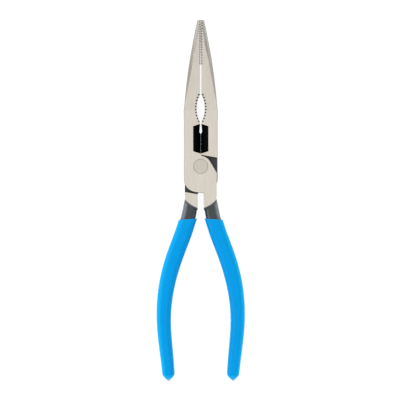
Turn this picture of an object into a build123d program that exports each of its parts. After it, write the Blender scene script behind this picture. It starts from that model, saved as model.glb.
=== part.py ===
"""Long-nose side-cutting pliers: two forged halves lapped on a flush rivet, with dipped grips.

Frame: X runs across the jaws, Y along the tool towards the tip and Z along the pivot.
The origin is on the pivot axis, on the plane that the tool lies on.
The front half carries the left jaw and the right handle. The rear half is the same
forging turned half round about the tool's long axis.
"""

import math
import os

from build123d import *

# ---- Driving dimensions, in millimetres and degrees ----

# Overall
tip_reach = 83.5  # pivot axis to the jaw tips
handle_reach = 122.5  # pivot axis to the ends of the grips
joint_thickness = 11.0  # ground face to ground face
joint_half_width = 9.6  # across the jaws and the lap
heel_half_width = 9.1  # across the ground heels of the handles

# Nose: half-width, half-thickness and width of the rounded flank, from root to tip
nose_root = 31.7  # where the jaws start to taper
nose_root_half_width = 9.75
nose_knee = 25.0  # where the jaw's side runs out to the nose's widest point
tip_half_width = 2.05
tip_half_thickness = 1.6
nose_bulge = 0.9  # how far the outer edge bows out at mid-length
tip_round = 0.35
flank_widths = (0.35, 1.15, 1.8, 2.5, 1.15)  # at even steps from root to tip
jaw_edge_round = 0.3  # along the ground sides of the jaws and the lap

# Lap joint
lap_gap = 0.06  # between the two lapped faces
nose_arc_radius = 5.9  # the lap's end towards the jaws
heel_arc_radius = 15.0  # the lap's end towards the handles
heel_arc_end = 252.0  # where the heel arc leaves its circle, about the pivot
heel_blend_y = -7.3  # where it reaches the side of the lap
shoulder_clearance = 0.46  # between a lap's end and the other half's shoulder
shoulder_tilt = 10.0  # of both shoulders
full_opening = 49.0  # where the lap's flank comes parallel to the shoulder
lap_edge_round = 0.8  # on the side of the lap, at the lapped face
ground_edge_break = 0.25  # on the ground faces' edges at the shoulders

# Rivet
rivet_shank_radius = 3.3
rivet_head_radius = 4.2
rivet_head_depth = 1.4
rivet_running_clearance = 0.05  # in the half that turns on it
rivet_edge_break = 0.12  # the fine ring round the flush head

# Gripping faces, each measured from the mid-plane of the closed tool
tip_gap = 0.03
serrated_gap = 0.18  # at the inner end of the crosshatched teeth
plain_gap = 0.35  # along the smooth face behind them
serrated_length = 25.5
hatch_spacing = 1.42  # along the edge of the face
hatch_depth = 0.32

# Pipe grip
pipe_grip_centre = 33.2
pipe_grip_length = 16.3
pipe_grip_half_width = 2.35  # to the tooth crests
pipe_tooth_count = 10
pipe_tooth_depth = 0.7  # at the ground faces
pipe_tooth_mid_depth = 0.15  # half-way through the jaw

# Side cutter
knife_gap = 0.02
knife_land = 0.15  # half-thickness left at the cutting edge
pocket_half_width = 4.37
pocket_top = 24.3
pocket_land = 0.3  # from the pocket to the lap
pocket_corner_drop = 1.4  # from either end's centre to its corner
relief_half_width = 0.75
relief_bottom = 18.6
relief_point = 1.2  # length of the slot's pointed end
lap_peak = 1.0  # the notch between the knife edges and the lap: its height and half-width
lap_notch = 0.6

# Handles
crotch_half_width = 1.75  # from the mid-plane to the heel's inner side
crotch_round = 0.8
heel_inner_length = 8.6  # ground heel, from the lap's end to the handle, at its inner side
heel_outer_length = 4.6
heel_taper_drop = 1.5  # from the lap's end to where the heel's side starts to come in
heel_end_half_width = 8.5
heel_bow = 0.4  # how far the end of the ground heel bows out
heel_step = 1.3  # length of the slope down from the ground heel
handle_start = (5.2, 2.5)  # x, and distance below the lap's end
handle_points = ((7.35, -30.0), (13.7, -48.0), (18.8, -65.0), (21.1, -86.0))
handle_return = ((20.3, 23.0), (18.75, 9.5))  # x, and distance from the end of the grip
handle_end_x = 18.45
handle_widths = (6.8, 8.2, 8.15, 8.0, 7.55, 6.9, 6.4, 6.0, 5.5)  # at even steps along it
heel_drop = 0.8  # from the ground faces down to the handle's
handle_thinning = 0.6  # how much thinner the handle is at its end
corner_share = 0.38  # corner radius of the handle's section over its width
core_end_gap = 4.5  # from the end of the steel to the end of the grip's straight part
core_end_round = 1.2

# Grips
grip_mouth = -30.0
grip_wall = 0.8
grip_cone_length = 4.6  # from where the grip starts to close to its very end
grip_cone_tip = 1.4  # radius of the drip at the very end
grip_shoulder_inset = 0.65  # how far the end has come in where it turns to the drip
grip_shoulder_rise = 2.9  # from the end of the grip to there
grip_mouth_round = 0.4

# ---- Derived places ----

mid_z = joint_thickness / 2
lap_z = mid_z + lap_gap / 2
lap_thickness = mid_z - lap_gap / 2
flank_angle = 90.0 - shoulder_tilt - full_opening
overcut = 1.0  # how far a cutter runs past the face that it opens on


def on_circle(radius, degrees):
    """A point on a circle about the pivot."""
    return (radius * math.cos(math.radians(degrees)), radius * math.sin(math.radians(degrees)))


def on_line(distance, normal_degrees, x):
    """The point at x on the line whose normal from the pivot has this length and direction."""
    angle = math.radians(normal_degrees)
    return (x, (distance - x * math.cos(angle)) / math.sin(angle))


# The shoulders that the other half's lap turns under, on the jaw and on the heel.
jaw_shoulder = nose_arc_radius + shoulder_clearance
jaw_shoulder_normal = 90.0 + shoulder_tilt
heel_shoulder = heel_arc_radius + 1.5 * shoulder_clearance
heel_shoulder_normal = 270.0 + shoulder_tilt

# Key places along the closed faces
serrated_end = tip_reach - serrated_length
pipe_grip_top = pipe_grip_centre + pipe_grip_length / 2
pipe_grip_bottom = pipe_grip_centre - pipe_grip_length / 2
straight_end = grip_cone_length - handle_reach
core_end = straight_end + core_end_gap
handle_thickness = joint_thickness - 2 * heel_drop

lap_start = nose_arc_radius + lap_peak
pocket_bottom = lap_start + pocket_land

# Corners that both layers of a half share
jaw_side = (
    (-knife_gap, nose_root),
    (-nose_root_half_width, nose_root),
    (-joint_half_width, nose_knee),
)
heel_inner = (crotch_half_width, -heel_arc_radius - heel_inner_length - heel_step)
heel_outer = (heel_end_half_width, -heel_arc_radius - heel_outer_length - heel_step)
heel_side = (heel_half_width, -heel_arc_radius - heel_taper_drop)

# ---- Profiles ----


def nose_half_thickness(y):
    """Half the nose's thickness at this distance from the pivot."""
    return mid_z + (tip_half_thickness - mid_z) * (y - nose_root) / (tip_reach - nose_root)


def nose_section(step):
    """Outline of the left nose across Y at an even step from root to tip, flat on the inside."""
    share = step / (len(flank_widths) - 1)
    y = nose_root + (tip_reach - nose_root) * share
    half_thickness = nose_half_thickness(y)
    straight = nose_root_half_width + (tip_half_width - nose_root_half_width) * share
    half_width = straight + nose_bulge * math.sin(math.pi * share)
    flat = half_width - flank_widths[step]
    plane = Plane(origin=(0, y, mid_z), x_dir=(1, 0, 0), z_dir=(0, -1, 0))
    with BuildSketch(plane) as section:
        with BuildLine():
            Line((-flat, half_thickness), (0, half_thickness))
            Line((0, half_thickness), (0, -half_thickness))
            Line((0, -half_thickness), (-flat, -half_thickness))
            ThreePointArc((-flat, -half_thickness), (-half_width, 0), (-flat, half_thickness))
        make_face()
    return section.sketch


def handle_line():
    """Centreline of the right handle, from inside the heel to where the grip starts to close."""
    start = (handle_start[0], -heel_arc_radius - handle_start[1])
    returns = [(x, rise - handle_reach) for x, rise in handle_return]
    route = (start, *handle_points, *returns, (handle_end_x, straight_end))
    points = [(x, y, mid_z) for x, y in route]
    return Spline(*points, tangents=((0.12, -1, 0), (-0.02, -1, 0)))


def handle_sections(skin):
    """Rounded sections square to the handle's centreline, with a skin of this thickness."""
    line = handle_line()
    steps = len(handle_widths) - 1
    found = []
    for step, width in enumerate(handle_widths):
        share = step / steps
        thickness = handle_thickness - handle_thinning * share**4 + 2 * skin
        across = width + 2 * skin
        plane = Plane(origin=line @ share, x_dir=(0, 0, 1), z_dir=line % share)
        with BuildSketch(plane) as section:
            RectangleRounded(thickness, across, corner_share * across)
        found.append(section.sketch)
    return found


def lap_outline():
    """The front face of the joint: the jaw's root, the lap and the heel of the handle."""
    heel_leave = on_circle(heel_arc_radius, heel_arc_end)
    heel_meet_angle = 360 - math.degrees(math.acos(crotch_half_width / heel_arc_radius))
    heel_meet = on_circle(heel_arc_radius, heel_meet_angle)
    heel_mid = on_circle(heel_arc_radius, (heel_arc_end + heel_meet_angle) / 2)
    nose_start_angle = math.degrees(math.acos(lap_notch / nose_arc_radius))
    nose_start = on_circle(nose_arc_radius, nose_start_angle)
    nose_mid = on_circle(nose_arc_radius, (flank_angle + nose_start_angle) / 2)
    flank_top = on_circle(nose_arc_radius, flank_angle)
    flank_foot = on_line(nose_arc_radius, flank_angle, heel_half_width)
    lap_side = (-joint_half_width, heel_blend_y)
    with BuildLine() as outline:
        Polyline((-knife_gap, lap_start), *jaw_side, lap_side)
        TangentArc(heel_leave, lap_side, tangent=on_circle(1, heel_arc_end - 90))
        ThreePointArc(heel_leave, heel_mid, heel_meet)
        Line(heel_meet, heel_inner)
        SagittaArc(heel_inner, heel_outer, -heel_bow)
        Polyline(heel_outer, heel_side, flank_foot, flank_top)
        ThreePointArc(flank_top, nose_mid, nose_start)
        Line(nose_start, (-knife_gap, lap_start))
    return outline.line


def jaw_outline():
    """The jaw's root beside the other half's lap, down to its shoulder."""
    shoulder_side = on_line(jaw_shoulder, jaw_shoulder_normal, -joint_half_width)
    shoulder_inner = on_line(jaw_shoulder, jaw_shoulder_normal, -lap_notch)
    with BuildLine() as outline:
        Polyline((-knife_gap, lap_start), *jaw_side, shoulder_side, shoulder_inner, close=True)
    return outline.line


def heel_outline():
    """The heel of the handle below the other half's lap, up to its shoulder."""
    shoulder_inner = on_line(heel_shoulder, heel_shoulder_normal, crotch_half_width)
    shoulder_side = on_line(heel_shoulder, heel_shoulder_normal, heel_half_width)
    with BuildLine() as outline:
        Polyline(heel_inner, shoulder_inner, shoulder_side, heel_side, heel_outer)
        SagittaArc(heel_inner, heel_outer, -heel_bow)
    return outline.line


def mouth_outline():
    """Everything between the mid-plane and the left jaw's inner side, past the tip."""
    with BuildLine() as outline:
        Polyline(
            (-plain_gap, pipe_grip_bottom),
            (-plain_gap, pocket_top),
            (-relief_half_width, relief_bottom + relief_point),
            (-knife_gap, relief_bottom),
            (-knife_gap, lap_start),
            (overcut, lap_start),
            (overcut, tip_reach + overcut),
            (-tip_gap, tip_reach + overcut),
            (-tip_gap, tip_reach),
            (-serrated_gap, serrated_end),
            (-plain_gap, serrated_end),
            (-plain_gap, pipe_grip_top),
        )
        ThreePointArc(
            (-plain_gap, pipe_grip_top),
            (-pipe_grip_half_width, pipe_grip_centre),
            (-plain_gap, pipe_grip_bottom),
        )
    return outline.line


# ---- Cutters ----


def hatch_cutter(lean):
    """One set of the crossed V grooves on the serrated face, at 45 degrees by the sign of lean."""
    along = Vector(tip_gap - serrated_gap, -serrated_length).normalized()
    up = Vector(0, 0, lean)
    middle = ((-tip_gap - serrated_gap) / 2, tip_reach - serrated_length / 2, mid_z)
    across = 2 * nose_half_thickness(serrated_end - overcut)
    pitch = hatch_spacing * math.sin(math.radians(45))
    count = math.ceil((serrated_length + across) / hatch_spacing)
    side = math.sqrt(2) * hatch_depth
    with BuildPart() as cutter:
        with BuildSketch(Plane(origin=middle, x_dir=along - up, z_dir=along + up)):
            with GridLocations(pitch, 0, count, 1):
                Rectangle(side, side, rotation=45)
        extrude(amount=across, both=True)
        with BuildSketch(Plane(origin=middle, x_dir=along, z_dir=along.cross(up))):
            Rectangle(serrated_length, across)
        extrude(amount=2 * hatch_depth, both=True, mode=Mode.INTERSECT)
    return cutter.part


def pipe_tooth_cutter():
    """V notches square to the pipe grip's arc, shallower towards the middle of the jaw."""
    rise = pipe_grip_half_width - plain_gap
    radius = ((pipe_grip_length / 2) ** 2 + rise**2) / (2 * rise)
    half_span = math.degrees(math.asin(pipe_grip_length / 2 / radius))
    pitch = 2 * half_span / pipe_tooth_count
    first = 180 - half_span + pitch / 2
    span = 2 * half_span - pitch
    side = math.sqrt(2) * pipe_tooth_mid_depth
    growth = (pipe_tooth_depth - pipe_tooth_mid_depth) / math.sqrt(2)
    taper = -math.degrees(math.atan(growth / mid_z))
    with BuildPart() as cutter:
        for direction in (1, -1):
            with BuildSketch(Plane.XY.offset(mid_z)):
                with Locations((radius - pipe_grip_half_width, pipe_grip_centre)):
                    with PolarLocations(radius, pipe_tooth_count, first, span, endpoint=True):
                        Rectangle(side, side, rotation=45)
            extrude(amount=direction * (mid_z + overcut), taper=taper)
    return cutter.part


def pocket_cutter():
    """The side cutter's bevels: from both ground faces in to the knife edge."""
    corner_top = pocket_top - pocket_corner_drop
    corner_bottom = pocket_bottom + pocket_corner_drop
    with BuildPart() as cutter:
        with BuildSketch(Plane.XY.offset(-overcut)):
            with BuildLine():
                Polyline(
                    (overcut, pocket_top),
                    (0, pocket_top),
                    (-pocket_half_width, corner_top),
                    (-pocket_half_width, corner_bottom),
                    (0, pocket_bottom),
                    (overcut, pocket_bottom),
                    close=True,
                )
            make_face()
        extrude(amount=joint_thickness + 2 * overcut)
        with BuildSketch(Plane.XZ):
            for side in (1, -1):
                edge = mid_z + side * knife_land
                ground = mid_z + side * mid_z
                beyond = ground + side * overcut
                with BuildLine():
                    Polyline(
                        (-knife_gap, edge),
                        (-pocket_half_width, ground),
                        (-pocket_half_width, beyond),
                        (overcut, beyond),
                        (overcut, edge),
                        close=True,
                    )
                make_face()
        extrude(amount=-pocket_top - overcut, mode=Mode.INTERSECT)
    return cutter.part


def rivet_profile(clearance, edge_break, overrun):
    """Half the section of the rivet with a countersunk head at both ends."""
    head = rivet_head_radius + clearance
    shank = rivet_shank_radius + clearance
    top = joint_thickness + overrun
    with BuildSketch(Plane.XZ) as profile:
        with BuildLine():
            Polyline(
                (0, -overrun),
                (head - edge_break, -overrun),
                (head, rivet_edge_break),
                (shank, rivet_head_depth),
                (shank, joint_thickness - rivet_head_depth),
                (head, joint_thickness - rivet_edge_break),
                (head - edge_break, top),
                (0, top),
                close=True,
            )
        make_face()
    return profile.sketch


# ---- Sub-parts ----


def handle_core():
    """The steel inside the right grip, with the neck that shows above it."""
    with BuildPart() as core:
        loft(handle_sections(0))
        split(bisect_by=Plane(origin=(0, core_end, 0), z_dir=(0, 1, 0)))
        fillet(core.faces().sort_by(Axis.Y)[0].edges(), core_end_round)
    return core.part


def end_plane(y):
    """Square to the tool's long axis, on the grip's end."""
    return Plane(origin=(handle_end_x, y, mid_z), x_dir=(0, 0, 1), z_dir=(0, -1, 0))


def dipped_grip(core):
    """The right grip: a closed sleeve over the core, run out to the drip at its end."""
    sections = handle_sections(grip_wall)
    tip_y = grip_cone_tip - handle_reach
    shoulder_y = grip_shoulder_rise - handle_reach
    shoulder_skin = grip_wall - grip_shoulder_inset
    shoulder_width = handle_widths[-1] + 2 * shoulder_skin
    shoulder_thickness = handle_thickness - handle_thinning + 2 * shoulder_skin
    with BuildSketch(end_plane(shoulder_y)) as shoulder:
        RectangleRounded(shoulder_thickness, shoulder_width, corner_share * shoulder_width)
    with BuildSketch(end_plane(tip_y)) as drip:
        Circle(grip_cone_tip)
    with BuildPart() as grip:
        loft(sections)
        loft((sections[-1], shoulder.sketch))
        loft((shoulder.sketch, drip.sketch))
        with Locations((handle_end_x, tip_y, mid_z)):
            Sphere(grip_cone_tip)
        split(bisect_by=Plane(origin=(0, grip_mouth, 0), z_dir=(0, -1, 0)))
        fillet(grip.faces().sort_by(Axis.Y)[-1].edges(), grip_mouth_round)
        add(core, mode=Mode.SUBTRACT)
    return grip.part


def forged_half(core, bore_clearance):
    """The front half: left jaw, front lap and right handle, with its hole for the rivet."""
    heel_mid_x = (heel_inner[0] + heel_outer[0]) / 2
    shoulder_mids = (
        on_line(jaw_shoulder, jaw_shoulder_normal, -joint_half_width / 2),
        on_line(heel_shoulder, heel_shoulder_normal, heel_mid_x),
    )
    with BuildPart() as half:
        # Joint block, in its two layers
        with BuildSketch(Plane.XY.offset(lap_z)):
            add(lap_outline())
            make_face()
        extrude(amount=lap_thickness)
        with BuildSketch():
            add(jaw_outline())
            make_face()
            add(heel_outline())
            make_face()
        extrude(amount=lap_z)
        # The crotch, and the lap's side that the other half's jaw and heel pass over
        crotch = (crotch_half_width, -heel_arc_radius, joint_thickness)
        fillet(half.edges().filter_by(Axis.Z).sort_by_distance(crotch)[0], crotch_round)
        fillet(half.edges().sort_by_distance((-joint_half_width, 0, lap_z))[0], lap_edge_round)
        # The ground heel slopes down to the handle on both faces
        for level in (0, joint_thickness):
            end = half.edges().sort_by_distance((heel_mid_x, heel_inner[1], level))[0]
            ground = half.faces().filter_by(Axis.Z).sort_by_distance((*heel_side, level))[0]
            chamfer(end, heel_step, heel_drop, reference=ground)
        # Edges broken at the shoulders, and rounded along the sides
        for x, y in shoulder_mids:
            chamfer(half.edges().sort_by_distance((x, y, 0))[0], ground_edge_break)
        for level in (0, joint_thickness):
            side = half.edges().sort_by_distance((-joint_half_width, nose_knee - overcut, level))[0]
            root = half.edges().sort_by_distance((-joint_half_width, nose_knee + overcut, level))[0]
            fillet((side, root), jaw_edge_round)
        loft([nose_section(step) for step in range(len(flank_widths))])
        fillet(half.faces().sort_by(Axis.Y)[-1].edges().sort_by(Axis.X)[:-1], tip_round)
        # The gripping faces and the cutter
        with BuildSketch(Plane.XY.offset(-overcut)):
            add(mouth_outline())
            make_face()
        extrude(amount=joint_thickness + 2 * overcut, mode=Mode.SUBTRACT)
        for cutter in (pipe_tooth_cutter(), pocket_cutter(), hatch_cutter(1), hatch_cutter(-1)):
            add(cutter, mode=Mode.SUBTRACT)
        add(core)
        # The rivet's hole
        add(rivet_profile(bore_clearance, 0, overcut))
        revolve(axis=Axis.Z, mode=Mode.SUBTRACT)
    return half.part


def turned_over(part):
    """The same piece on the other half: half round about the tool's long axis."""
    return part.rotate(Axis((0, 0, mid_z), (0, 1, 0)), 180)


# ---- The five pieces ----

core = handle_core()
grip = dipped_grip(core)

with BuildPart() as front_lever:
    add(forged_half(core, 0))

with BuildPart() as rear_lever:
    add(turned_over(forged_half(core, rivet_running_clearance)))

with BuildPart() as pivot_rivet:
    add(rivet_profile(0, rivet_edge_break, 0))
    revolve(axis=Axis.Z)

with BuildPart() as right_grip:
    add(grip)

with BuildPart() as left_grip:
    add(turned_over(grip))

front_lever.part.label = "front_lever"
rear_lever.part.label = "rear_lever"
pivot_rivet.part.label = "pivot_rivet"
right_grip.part.label = "right_grip"
left_grip.part.label = "left_grip"

os.makedirs("parts", exist_ok=True)
export_step(front_lever.part, "parts/front_lever.step")
export_step(rear_lever.part, "parts/rear_lever.step")
export_step(pivot_rivet.part, "parts/pivot_rivet.step")
export_step(right_grip.part, "parts/right_grip.step")
export_step(left_grip.part, "parts/left_grip.step")
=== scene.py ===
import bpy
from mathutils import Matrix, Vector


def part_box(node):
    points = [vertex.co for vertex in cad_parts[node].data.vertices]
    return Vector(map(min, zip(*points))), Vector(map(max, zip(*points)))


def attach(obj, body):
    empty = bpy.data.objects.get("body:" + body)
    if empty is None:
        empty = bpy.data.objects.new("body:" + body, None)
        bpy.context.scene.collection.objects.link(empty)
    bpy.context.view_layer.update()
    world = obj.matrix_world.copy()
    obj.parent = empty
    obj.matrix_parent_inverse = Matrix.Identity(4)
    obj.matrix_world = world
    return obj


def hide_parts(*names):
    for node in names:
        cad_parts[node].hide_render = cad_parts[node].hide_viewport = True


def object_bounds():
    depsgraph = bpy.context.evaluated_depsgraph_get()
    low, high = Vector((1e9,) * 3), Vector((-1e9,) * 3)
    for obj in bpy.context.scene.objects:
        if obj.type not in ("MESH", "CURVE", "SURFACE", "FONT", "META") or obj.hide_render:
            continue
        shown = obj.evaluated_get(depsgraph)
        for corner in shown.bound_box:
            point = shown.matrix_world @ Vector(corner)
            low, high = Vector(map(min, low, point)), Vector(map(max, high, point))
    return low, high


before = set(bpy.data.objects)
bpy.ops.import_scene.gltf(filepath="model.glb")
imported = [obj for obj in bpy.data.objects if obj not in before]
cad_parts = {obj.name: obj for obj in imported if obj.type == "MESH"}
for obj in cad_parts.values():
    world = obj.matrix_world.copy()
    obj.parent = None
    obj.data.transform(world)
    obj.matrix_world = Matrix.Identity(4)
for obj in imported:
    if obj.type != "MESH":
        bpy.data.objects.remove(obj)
cad_box = [list(corner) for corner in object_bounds()]

# Long-nose pliers: ground and black-oxide steel, a flush rivet and two dipped vinyl grips.
# Lengths on the tool are in millimetres here and turned to metres by MM where they are used.

import math

import bpy
from mathutils import Matrix, Vector

MM = 0.001

# ---- Places on the tool ----

tool_low, tool_high = (Vector(corner) for corner in cad_box)
rivet_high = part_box("pivot_rivet")[1]
grip_low, grip_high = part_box("right_grip")
mid_height = (tool_low.z + tool_high.z) / 2
half_thickness = (tool_high.z - tool_low.z) / 2 / MM
rivet_radius = rivet_high.x / MM
tip = tool_high.y / MM
mouth = grip_high.y
grip_end = grip_low.y

# Places along the tool are from the pivot, and towards the tip is above
HEEL_END = -26.0  # of the ground faces
HEEL_SIDE_END = -17.2  # of the painted light on the necks' outer sides
NECK_TOP = -20.0  # of the worn scale
RUST_LINE = -29.35  # just above the grips' mouths
LAP_TOP = 7.0
JAW_ROOT = 8.6  # above it the jaws are ground right through
JAW_HALF_WIDTH = 9.5
LAP_RADIUS = 15.1
RIM_TOP = -3.0  # of the painted highlight along the rim of the lap
POCKET_TOP = 24.5
POCKET_HALF_WIDTH = 4.42
NOSE_ROOT = 31.7  # where the nose starts to thin
NOSE_LENGTH = tip - NOSE_ROOT
SERRATED_LENGTH = 25.5  # back from the tip
HATCH_SPACING = 1.42  # of the crossed grooves, along the edge of the face
NICK_LENGTH = 0.95  # of the painted shade at the ends of the grooves, from the mid-plane
PIPE_CENTRE = 33.2  # of the pipe grip
PIPE_LENGTH = 16.3
PIPE_RISE = 2.0  # of each of its arcs
PIPE_HALF_WIDTH = 2.35
PIPE_TEETH = 10  # on each side
NOTCH_DEPTH = 0.9  # of the painted shade in the notches between them
HOLLOW_HALF_WIDTH = 3.15  # of an oval round both of its hollows
HOLLOW_HALF_LENGTH = 9.0
NOSE_THINNING = 0.0753  # of each face, to the millimetre along the nose
TIP_HALF_WIDTH = 0.9  # of the flat between the nose's flanks

# ---- Camera, light and floor ----

VIEW_WIDTH = 228.4 * MM
CAMERA_HEIGHT = 1.2
CAMERA_ASIDE, CAMERA_AHEAD = -0.43 * MM, 0.4 * MM  # of the tool's middle


def add_camera():
    """Straight above the tool with a long lens, the jaws towards the top of the frame."""
    across = (tool_low.x + tool_high.x) / 2 + CAMERA_ASIDE
    along = (tool_low.y + tool_high.y) / 2 + CAMERA_AHEAD
    bpy.ops.object.camera_add(location=(across, along, mid_height + CAMERA_HEIGHT), rotation=(0, 0, 0))
    camera = bpy.context.object
    camera.name = "camera"
    camera.data.lens = camera.data.sensor_width * CAMERA_HEIGHT / VIEW_WIDTH
    camera.data.clip_start = 0.01
    bpy.context.scene.camera = camera


def softbox(name, location, size, power, colour):
    """A rectangular soft light that faces the tool's middle."""
    aim = Vector((0, -0.02, 0)) - Vector(location)
    turn = aim.to_track_quat("-Z", "Y").to_euler()
    bpy.ops.object.light_add(type="AREA", location=location, rotation=turn)
    light = bpy.context.object
    light.name = name
    light.data.shape = "RECTANGLE"
    light.data.size, light.data.size_y = size
    light.data.energy = power
    light.data.color = colour


def add_studio():
    """Even white surroundings, a large overhead light and a softbox at each side."""
    world = bpy.data.worlds.new("studio")
    world.use_nodes = True
    surroundings = world.node_tree.nodes["Background"]
    surroundings.inputs["Color"].default_value = (0.97, 0.98, 1.0, 1)
    surroundings.inputs["Strength"].default_value = 0.42
    bpy.context.scene.world = world
    softbox("overhead_light", (0.0, 0.02, 1.7), (1.6, 1.6), 7.4, (1.0, 0.99, 0.975))
    softbox("left_softbox", (-0.9, -0.05, 0.55), (0.9, 0.5), 6.0, (1.0, 0.99, 0.97))
    softbox("right_softbox", (0.95, -0.05, 0.22), (0.9, 0.35), 3.3, (0.95, 0.98, 1.0))


def add_floor():
    """The plain pale table that the tool lies on."""
    bpy.ops.mesh.primitive_plane_add(size=6, location=(0, 0, tool_low.z - 0.05 * MM))
    floor = bpy.context.object
    floor.name = "table"
    paint = Finish("table_paint")
    paint.surface(
        paint.principled(
            {
                "Base Color": (0.2, 0.2, 0.2, 1),
                "Roughness": 0.9,
                "Specular IOR Level": 0.0,
                "Emission Color": (1, 1, 1, 1),
                "Emission Strength": 0.93,
            }
        )
    )
    floor.data.materials.append(paint.material)


# ---- Finishes ----


class Link:
    """A node's output. Arithmetic on it adds Math nodes."""

    def __init__(self, finish, socket):
        self.finish = finish
        self.socket = socket

    def maths(self, operation, *values):
        return self.finish.node("ShaderNodeMath", {"operation": operation}, dict(enumerate(values)))

    def __add__(self, other):
        return self.maths("ADD", self, other)

    def __radd__(self, other):
        return self.maths("ADD", other, self)

    def __sub__(self, other):
        return self.maths("SUBTRACT", self, other)

    def __rsub__(self, other):
        return self.maths("SUBTRACT", other, self)

    def __mul__(self, other):
        return self.maths("MULTIPLY", self, other)

    def __rmul__(self, other):
        return self.maths("MULTIPLY", other, self)

    def __abs__(self):
        return self.maths("ABSOLUTE", self)

    def __or__(self, other):
        return self.maths("MAXIMUM", self, other)

    def sign(self):
        return self.maths("SIGN", self)

    def cosine(self):
        return self.maths("COSINE", self)

    def root(self):
        return self.maths("SQRT", self)


class Finish:
    """A procedural material, with the tool's own coordinates in millimetres."""

    def __init__(self, name):
        self.material = bpy.data.materials.new(name)
        self.material.use_nodes = True
        self.tree = self.material.node_tree
        self.tree.nodes.clear()

    def node(self, kind, settings={}, inputs={}, output=0):
        """Adds a node, with its settings first and then its sockets' values or links."""
        made = self.tree.nodes.new(kind)
        for name, value in settings.items():
            setattr(made, name, value)
        for key, value in inputs.items():
            if isinstance(value, Link):
                self.tree.links.new(value.socket, made.inputs[key])
            else:
                made.inputs[key].default_value = value
        return Link(self, made.outputs[output])

    def place(self):
        """Where the surface is on the tool, in millimetres, with the height from its mid-plane."""
        metres = self.node("ShaderNodeTexCoord", output="Object")
        centre = (0, 0, mid_height)
        lowered = self.node("ShaderNodeVectorMath", {"operation": "SUBTRACT"}, {0: metres, 1: centre})
        scale = {0: lowered, "Scale": 1 / MM}
        return self.node("ShaderNodeVectorMath", {"operation": "SCALE"}, scale)

    def axes(self, place):
        """The three coordinates of a place, each by itself."""
        return [self.node("ShaderNodeSeparateXYZ", {}, {0: place}, axis) for axis in range(3)]

    def facing(self):
        """Which way the surface faces on the tool, as three coordinates."""
        return self.axes(self.node("ShaderNodeTexCoord", output="Normal"))

    def distance(self, place, centre, stretch):
        """How far a place is from a centre, with each axis weighted."""
        offset = self.node("ShaderNodeVectorMath", {"operation": "SUBTRACT"}, {0: place, 1: centre})
        weighted = self.node("ShaderNodeVectorMath", {"operation": "MULTIPLY"}, {0: offset, 1: stretch})
        return self.node("ShaderNodeVectorMath", {"operation": "LENGTH"}, {0: weighted}, "Value")

    def noise(self, place, stretch, detail=2.0, roughness=0.5):
        """Soft noise with this many features to the millimetre along each axis."""
        scaled = self.node("ShaderNodeVectorMath", {"operation": "MULTIPLY"}, {0: place, 1: stretch})
        inputs = {"Vector": scaled, "Scale": 1.0, "Detail": detail, "Roughness": roughness}
        return self.node("ShaderNodeTexNoise", {}, inputs, "Fac")

    def over(self, value, edge, softness):
        """0 below an edge and 1 above it, with a soft step between."""
        inputs = {"Value": value, "From Min": edge - softness, "From Max": edge + softness}
        return self.node("ShaderNodeMapRange", {"interpolation_type": "SMOOTHSTEP"}, inputs)

    def under(self, value, edge, softness):
        """1 below an edge and 0 above it."""
        return 1 - self.over(value, edge, softness)

    def blend(self, factor, first, second):
        """From one colour to another by a factor."""
        settings = {"data_type": "RGBA", "blend_type": "MIX"}
        return self.node("ShaderNodeMix", settings, {0: factor, 6: first, 7: second}, 2)

    def lighten(self, colour, amount):
        """A colour times an amount that may vary over the surface."""
        inputs = {0: colour, "Scale": amount}
        return self.node("ShaderNodeVectorMath", {"operation": "SCALE"}, inputs)

    def bump(self, height, distance):
        """A normal from a height, where 1 stands this many millimetres high."""
        inputs = {"Height": height, "Distance": distance * MM, "Strength": 1.0}
        return self.node("ShaderNodeBump", {}, inputs)

    def principled(self, inputs):
        return self.node("ShaderNodeBsdfPrincipled", {}, inputs)

    def either(self, factor, first, second):
        """The first shader where the factor is 0 and the second where it is 1."""
        return self.node("ShaderNodeMixShader", {}, {0: factor, 1: first, 2: second})

    def surface(self, shader):
        end = self.tree.nodes.new("ShaderNodeOutputMaterial")
        self.tree.links.new(shader.socket, end.inputs["Surface"])


def ground_metal(steel, place, colour, roughness=0.30):
    """Bare steel off the grinding belt: fine scratches along the tool and broad faint streaks."""
    scratches = steel.noise(place, (4.0, 0.2, 4.0), 4.0, 0.7)
    streaks = steel.noise(place, (1.1, 0.07, 1.1), 2.0, 0.5)
    clouds = steel.noise(place, (0.09, 0.05, 0.09), 1.0)
    shade = 0.68 + 0.34 * scratches + 0.24 * streaks + 0.07 * clouds
    base = steel.lighten(colour, shade)
    return steel.principled(
        {
            "Base Color": base,
            "Metallic": 1.0,
            "Roughness": roughness + 0.10 * scratches + 0.06 * clouds,
            "Normal": steel.bump(scratches + 0.5 * streaks, 0.012),
        }
    )


def pipe_notches(steel, across, y):
    """1 in the notches of the pipe grip, which stand square to its arcs, where shade is painted."""
    radius = ((PIPE_LENGTH / 2) ** 2 + PIPE_RISE**2) / (2 * PIPE_RISE)
    pitch = 2 * math.asin(PIPE_LENGTH / 2 / radius) / PIPE_TEETH
    sideways = across + (radius - PIPE_HALF_WIDTH)
    along = y - PIPE_CENTRE
    turn = along.maths("ARCTAN2", along, sideways)
    wave = -1 * (turn * (2 * math.pi / pitch)).cosine()
    outside = (sideways * sideways + along * along).root() - radius
    reach = steel.under(outside, NOTCH_DEPTH, 0.12) * steel.under(abs(along), PIPE_LENGTH / 2, 0.1)
    return steel.over(wave, 0.0, 0.3) * reach


def hatch_ends(steel, x, y, height):
    """1 at the ends of the nose's crossed grooves, one set of them on each jaw, where shade is painted.
    """
    crossing = y + height * x.sign() - (tip - SERRATED_LENGTH / 2)
    wave = (crossing * (2 * math.pi / HATCH_SPACING)).cosine()
    toothed = steel.under(abs(x), NICK_LENGTH, 0.12) * steel.over(y, tip - SERRATED_LENGTH, 0.1)
    return steel.over(wave, 0.3, 0.2) * toothed


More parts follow.
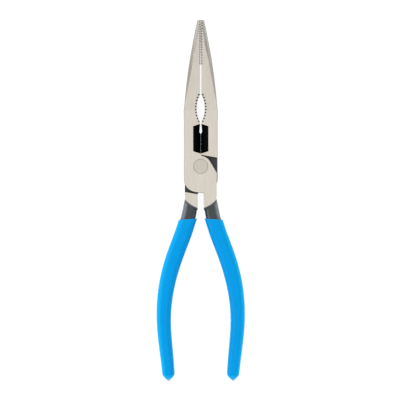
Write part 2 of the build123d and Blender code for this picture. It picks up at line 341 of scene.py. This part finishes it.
def black_oxide(steel, place, outward, grain):
    """Blue-black scale, with painted light in grey on the outer side of the necks, and a rust line at
    the grips.
    """
    y = steel.axes(place)[1]
    clouds = steel.noise(place, (0.5, 0.35, 0.5), 2.0)
    colour = steel.blend(clouds, (0.013, 0.021, 0.025, 1), (0.030, 0.042, 0.052, 1))
    # Painted light: lighter grey where the necks face outward, mottled by the grain
    painted_outer_light = steel.over(outward, 0.35, 0.3) * steel.under(y, NECK_TOP, 1.0)
    colour = steel.blend((0.45 + 0.4 * grain) * painted_outer_light, colour, (0.20, 0.235, 0.27, 1))
    rust = steel.under(y, RUST_LINE, 0.25) * steel.over(grain, 0.35, 0.2)
    colour = steel.blend(0.55 * rust, colour, (0.075, 0.035, 0.025, 1))
    return steel.principled(
        {
            "Base Color": steel.lighten(colour, 0.75 + 0.5 * grain),
            "Roughness": 0.34 + 0.16 * grain,
            "Normal": steel.bump(grain, 0.05),
            "Specular IOR Level": 0.6,
        }
    )


def scale_in_painted_shade(steel, grain):
    """Scale that no wheel or hand reaches, in the cutter's recess and the hollows, darkened to near
    black with its reflection damped as painted shade.
    """
    return steel.principled(
        {
            "Base Color": steel.lighten((0.0022, 0.0024, 0.0032), 0.6 + 0.8 * grain),
            "Roughness": 0.42 + 0.12 * grain,
            "Normal": steel.bump(grain, 0.03),
            "Specular IOR Level": 0.05,
        }
    )


def lever_steel():
    """The two forgings: ground faces, jaws and nose, and black oxide where no wheel has been."""
    steel = Finish("ground_steel")
    place = steel.place()
    x, y, z = steel.axes(place)
    across, height = abs(x), abs(z)
    facing = steel.facing()

    # Where the steel is ground
    face = steel.over(height, half_thickness - 0.2, 0.05) * steel.over(y, HEEL_END, 0.3)
    jaw = steel.over(y, LAP_TOP, 0.05) * (steel.over(y, JAW_ROOT, 0.05) | steel.over(height, 0.6, 0.05))
    side = steel.over(across, JAW_HALF_WIDTH - 0.55, 0.05) * steel.over(height, 1.0, 0.1)
    ground = face | jaw | side * steel.over(y, HEEL_SIDE_END, 0.3)

    # The cutter's bevels, the notches and the depth of the pipe grip's hollows get painted shade: their
    # unground scale is made near black, with its reflection damped
    depth = half_thickness - (height + NOSE_THINNING * (y - NOSE_ROOT | 0.0))
    pocket = steel.under(across, POCKET_HALF_WIDTH, 0.03) * steel.over(depth, 0.07, 0.02)
    pocket = pocket * steel.over(y, LAP_TOP, 0.05) * steel.under(y, POCKET_TOP, 0.05)
    oval = (1 / HOLLOW_HALF_WIDTH, 1 / HOLLOW_HALF_LENGTH, 0)
    from_pipe = steel.distance(place, (0, PIPE_CENTRE, 0), oval)
    hollow = steel.under(from_pipe, 1.0, 0.02) * steel.over(depth, 1.4, 0.3)
    black = pocket | hollow | pipe_notches(steel, across, y)

    # Ground steel, with a painted highlight along the lap's curved end
    from_pivot = steel.distance(place, (0, 0, 0), (1, 1, 0))
    rim = steel.over(from_pivot, LAP_RADIUS - 0.8, 0.3) * steel.under(from_pivot, LAP_RADIUS, 0.1)
    rim = rim * steel.under(y, RIM_TOP, 1.0) * steel.under(x * z, 0.0, 10.0)
    bright = steel.blend(0.6 * rim, (0.590, 0.548, 0.486, 1), (0.69, 0.65, 0.59, 1))

    # Painted shade: darker on the rounded corners and on the nose's flanks, which narrow the flat
    # towards the tip
    corner = steel.under(abs(facing[2]), 0.975, 0.015) * steel.over(y, HEEL_SIDE_END + 0.2, 1.0)
    corner = corner * steel.under(y, NOSE_ROOT + 3.0, 3.0)
    flat_half_width = (JAW_HALF_WIDTH + 0.1) * (1 - (y - NOSE_ROOT) * (1 / NOSE_LENGTH)) | TIP_HALF_WIDTH
    flank = steel.over(across - flat_half_width, 0.1, 0.3) | corner
    to_tip = steel.over(y, NOSE_ROOT + 0.72 * NOSE_LENGTH, 0.35 * NOSE_LENGTH)
    painted_flank_shade = steel.blend(to_tip, (0.355, 0.330, 0.297, 1), (0.50, 0.468, 0.430, 1))
    bright = steel.blend(flank, bright, painted_flank_shade)
    # Painted shade, near black, at the ends of the nose's crossed grooves
    bright = steel.blend(0.9 * hatch_ends(steel, x, y, height), bright, (0.05, 0.05, 0.052, 1))
    ground_shader = ground_metal(steel, place, bright, 0.30 + 0.16 * flank)

    grain = steel.noise(place, (2.6, 2.6, 2.6), 4.0, 0.65)
    oxide_shader = black_oxide(steel, place, facing[0] * x.sign(), grain)
    shader = steel.either(ground, oxide_shader, ground_shader)
    steel.surface(steel.either(black, shader, scale_in_painted_shade(steel, grain)))
    return steel.material


def rivet_steel():
    """The rivet's flush head: ground with the joint, with a faint brown line round it."""
    steel = Finish("rivet_steel")
    place = steel.place()
    from_pivot = steel.distance(place, (0, 0, 0), (1, 1, 0))
    patches = steel.noise(place, (0.45, 0.45, 0.45), 2.0)
    line = steel.over(from_pivot, rivet_radius - 0.28, 0.14)
    stain = line * (0.35 + 0.65 * steel.over(patches, 0.5, 0.12))
    tint = steel.blend(stain, (0.520, 0.480, 0.425, 1), (0.29, 0.21, 0.17, 1))
    steel.surface(ground_metal(steel, place, tint))
    return steel.material


def dipped_vinyl():
    """Glossy blue plastisol, thin and paler at its lip and at the drip on its end, with painted light
    and shade by which way it faces.
    """
    vinyl = Finish("blue_vinyl")
    place = vinyl.place()
    x, y = vinyl.axes(place)[:2]
    clouds = vinyl.noise(place, (0.12, 0.05, 0.12), 2.0)
    peel = vinyl.noise(place, (0.9, 0.6, 0.9), 2.0, 0.4)
    dust = vinyl.noise(place, (6.0, 6.0, 6.0), 3.0, 0.6)

    # Painted light and shade by which way the surface faces: darker on the sides that face each other,
    # lighter on the outer sides and on the steepest inner faces
    facing = vinyl.facing()
    inward = -1 * facing[0] * x.sign()
    colour = vinyl.blend(clouds, (0.0, 0.35, 0.84, 1), (0.0, 0.385, 0.90, 1))
    colour = vinyl.blend(vinyl.under(inward, -0.45, 0.45), colour, (0.0, 0.42, 0.89, 1))
    colour = vinyl.blend(vinyl.over(inward, 0.55, 0.35), colour, (0.0, 0.315, 0.74, 1))
    colour = vinyl.blend(vinyl.over(inward, 0.94, 0.07), colour, (0.0, 0.46, 0.80, 1))
    # Painted light on the ends, where they face away from the jaws
    end = vinyl.under(facing[1], -0.45, 0.3) * vinyl.under(y, grip_end / MM + 4.0, 1.5)
    colour = vinyl.blend(end, colour, (0.0, 0.50, 1.0, 1))

    # Thin at the lip and the drip
    lip = vinyl.over(y, mouth / MM - 0.5, 0.25)
    colour = vinyl.blend(0.35 * lip, colour, (0.03, 0.42, 0.88, 1))
    drip = vinyl.under(y, grip_end / MM + 1.0, 0.25)
    colour = vinyl.blend(0.85 * drip, colour, (0.45, 0.74, 0.95, 1))
    vinyl.surface(
        vinyl.principled(
            {
                "Base Color": colour,
                "Roughness": 0.27 + 0.06 * dust + 0.05 * clouds,
                "Normal": vinyl.bump(peel + 0.06 * dust, 0.05),
                "Specular IOR Level": 0.045,
            }
        )
    )
    return vinyl.material


# ---- The dipped grips ----

WALL = 0.8  # of the vinyl
STEEL_GAP = 0.01  # between the vinyl and the steel inside it
CORNER_SHARE = 0.38  # corner radius over the width
LIP_ROUND = 0.24
MOUTH_WIDTH = 9.8
MOUTH_SLANT = 0.07  # the mouth's fall to the outer side, over its width
CORE_END = 9.1  # from the grip's very end to the end of the steel
RUN_IN = 4.0  # how far the sleeve is drawn past its mouth before it is trimmed
FIRST_STATION = 3.6  # from the mouth to the first section below it
TOP_LEVEL = 0.8  # from the mouth to where the handle is first measured
BOTTOM_LEVEL = 0.1  # from the drip's first step to where it is last measured
LEVEL_STEPS = 26
DRIP_STEPS = (
    # distance from the grip's very end, half-width and half-height
    (4.6, 3.55, 5.2),
    (4.0, 3.47, 5.06),
    (3.45, 3.28, 4.76),
    (2.9, 2.98, 4.25),
    (2.3, 2.53, 3.52),
    (1.75, 1.98, 2.64),
    (1.3, 1.45, 1.78),
    (0.95, 1.06, 1.17),
    (0.62, 0.92, 0.94),
    (0.34, 0.80, 0.80),
    (0.12, 0.52, 0.52),
    (0.02, 0.20, 0.20),
)


def slice_across(node, y):
    """The lowest and highest corners of a node's outline on the plane at this y."""
    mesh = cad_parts[node].data
    points = []
    for edge in mesh.edges:
        first, last = (mesh.vertices[index].co for index in edge.vertices)
        if (first.y - y) * (last.y - y) < 0:
            points.append(first.lerp(last, (y - first.y) / (last.y - first.y)))
    low = Vector([min(point[axis] for point in points) for axis in range(3)])
    high = Vector([max(point[axis] for point in points) for axis in range(3)])
    return low, high


def grip_stations():
    """The grip's centreline, and its width and height square to that line, from mouth to drip."""
    top = mouth - TOP_LEVEL * MM
    bottom = grip_end + (DRIP_STEPS[0][0] + BOTTOM_LEVEL) * MM
    levels = [top + (bottom - top) * step / LEVEL_STEPS for step in range(LEVEL_STEPS + 1)]
    centres, sizes = [], []
    for y in levels:
        low, high = slice_across("right_grip", y)
        centres.append(Vector(((low.x + high.x) / 2, y, 0)))
        sizes.append((high.x - low.x, high.z - low.z))
    for step, (width, height) in enumerate(sizes):
        before, after = centres[max(step - 1, 0)], centres[min(step + 1, LEVEL_STEPS)]
        sizes[step] = (width * abs((after - before).normalized().y), height)
    return centres, sizes


def select_only(*objects):
    bpy.ops.object.select_all(action="DESELECT")
    for chosen in objects:
        chosen.select_set(True)
    bpy.context.view_layer.objects.active = objects[-1]


def draw_sleeve(name, stations):
    """A closed bar along X through sections (distance along, width, height), corners rounded."""
    start, width, height = stations[0]
    bpy.ops.object.select_all(action="DESELECT")
    bpy.ops.mesh.primitive_plane_add(size=1, location=(start, 0, 0), rotation=(0, math.pi / 2, 0))
    sleeve = bpy.context.object
    sleeve.name = name
    bpy.ops.object.transform_apply(location=True, rotation=True, scale=True)
    bpy.ops.object.mode_set(mode="EDIT")
    bpy.ops.mesh.select_all(action="SELECT")
    bpy.ops.transform.resize(value=(1, width, height), center_override=(start, 0, 0))
    bpy.ops.mesh.bevel(offset=CORNER_SHARE * width, segments=10, affect="VERTICES", offset_type="OFFSET")
    for (along, width, height), (further, wider, higher) in zip(stations, stations[1:]):
        bpy.ops.mesh.extrude_region_move(TRANSFORM_OT_translate={"value": (further - along, 0, 0)})
        change = (1, wider / width, higher / height)
        bpy.ops.transform.resize(value=change, center_override=(further, 0, 0))
    bpy.ops.object.mode_set(mode="OBJECT")
    return sleeve


def bend_along(sleeve, centres):
    """Bends a bar drawn along X onto the handle's centreline, at the tool's mid-height."""
    data = bpy.data.curves.new("handle_line", "CURVE")
    data.dimensions = "2D"
    data.resolution_u = 24
    spline = data.splines.new("BEZIER")
    spline.bezier_points.add(len(centres) - 1)
    for point, centre in zip(spline.bezier_points, centres):
        point.co = centre
        point.handle_left_type = point.handle_right_type = "AUTO"
    line = bpy.data.objects.new("handle_line", data)
    bpy.context.scene.collection.objects.link(line)
    select_only(sleeve)
    bend = sleeve.modifiers.new("bend", "CURVE")
    bend.object = line
    bend.deform_axis = "POS_X"
    bpy.ops.object.modifier_apply(modifier=bend.name)
    bpy.data.objects.remove(line)
    sleeve.data.transform(Matrix.Translation((0, 0, mid_height)))


def trim_mouth(grip):
    """Cuts the skins off at the mouth, joins them there and rounds the lip."""
    slant = Vector((MOUTH_SLANT, 1, 0)).normalized()
    middle = Vector((grip_low.x + MOUTH_WIDTH * MM / 2, mouth, mid_height))
    select_only(grip)
    bpy.ops.object.mode_set(mode="EDIT")
    bpy.ops.mesh.select_all(action="SELECT")
    bpy.ops.mesh.bisect(plane_co=middle, plane_no=slant, clear_outer=True, threshold=1e-7)
    bpy.ops.mesh.select_all(action="DESELECT")
    bpy.ops.mesh.select_mode(type="EDGE")
    bpy.ops.mesh.select_non_manifold(extend=False)
    bpy.ops.mesh.bridge_edge_loops()
    bpy.ops.mesh.select_all(action="SELECT")
    bpy.ops.mesh.normals_make_consistent(inside=False)
    bpy.ops.mesh.select_all(action="DESELECT")
    bpy.ops.object.mode_set(mode="OBJECT")
    mesh = grip.data
    on_plane = [abs((vertex.co - middle).dot(slant)) < 0.001 * MM for vertex in mesh.vertices]
    faces_at = {}
    for face in mesh.polygons:
        rim = all(on_plane[index] for index in face.vertices)
        for key in face.edge_keys:
            faces_at.setdefault(key, []).append(rim)
    for edge in mesh.edges:
        edge.select = sorted(faces_at[edge.key]) == [False, True]
    bpy.ops.object.mode_set(mode="EDIT")
    bpy.ops.mesh.bevel(offset=LIP_ROUND * MM, segments=4, affect="EDGES")
    bpy.ops.object.mode_set(mode="OBJECT")


def make_right_grip():
    """The right grip: an outer skin out to the drip and an inner one round the steel."""
    centres, sizes = grip_stations()
    lead = (centres[0] - centres[2]).normalized() * RUN_IN * MM
    run = Vector((centres[-1].x, grip_end, 0))
    centres = [centres[0] + lead, *centres, run]
    sizes = [sizes[0], *sizes]
    along = [0.0]
    for first, last in zip(centres, centres[1:]):
        along.append(along[-1] + (last - first).length)
    whole = along.pop()
    places = list(zip(along, sizes))
    clear = (RUN_IN + FIRST_STATION) * MM
    outer = [(distance, *size) for distance, size in places if not 0 < distance < clear]
    end_width, end_height = sizes[-1]
    for rise, half_width, half_height in DRIP_STEPS[1:]:
        width = end_width * half_width / DRIP_STEPS[0][1]
        height = end_height * half_height / DRIP_STEPS[0][2]
        outer.append((whole - rise * MM, width, height))
    slim = 2 * (WALL - STEEL_GAP) * MM
    reach = whole - CORE_END * MM
    core = [station for station in outer if station[0] < reach]
    inner = [(distance, width - slim, height - slim) for distance, width, height in core]
    inner.append((reach, *inner[-1][1:]))
    grip = draw_sleeve("right_grip_vinyl", outer)
    lining = draw_sleeve("lining", inner)
    for skin in (grip, lining):
        bend_along(skin, centres)
    select_only(lining, grip)
    bpy.ops.object.join()
    trim_mouth(grip)
    select_only(grip)
    bpy.ops.object.shade_smooth_by_angle(angle=math.radians(50))
    return grip


def add_grips():
    """Both grips. The left one is the right one turned over with its half of the tool."""
    right = make_right_grip()
    left = right.copy()
    left.data = right.data.copy()
    left.name = left.data.name = "left_grip_vinyl"
    bpy.context.scene.collection.objects.link(left)
    centre = Matrix.Translation((0, 0, mid_height))
    left.data.transform(centre @ Matrix.Rotation(math.pi, 4, "Y") @ centre.inverted())
    vinyl = dipped_vinyl()
    for piece, node, body in ((right, "right_grip", "front_half"), (left, "left_grip", "rear_half")):
        piece.data.materials.clear()
        piece.data.materials.append(vinyl)
        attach(piece, body)
        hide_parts(node)


def finish_steel():
    """Gives the forgings and the rivet their finishes."""
    levers = lever_steel()
    for node in ("front_lever", "rear_lever"):
        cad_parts[node].material_slots[0].material = levers
    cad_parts["pivot_rivet"].material_slots[0].material = rivet_steel()


bpy.context.scene.view_settings.view_transform = "Standard"
add_camera()
add_studio()
add_floor()
finish_steel()
add_grips()
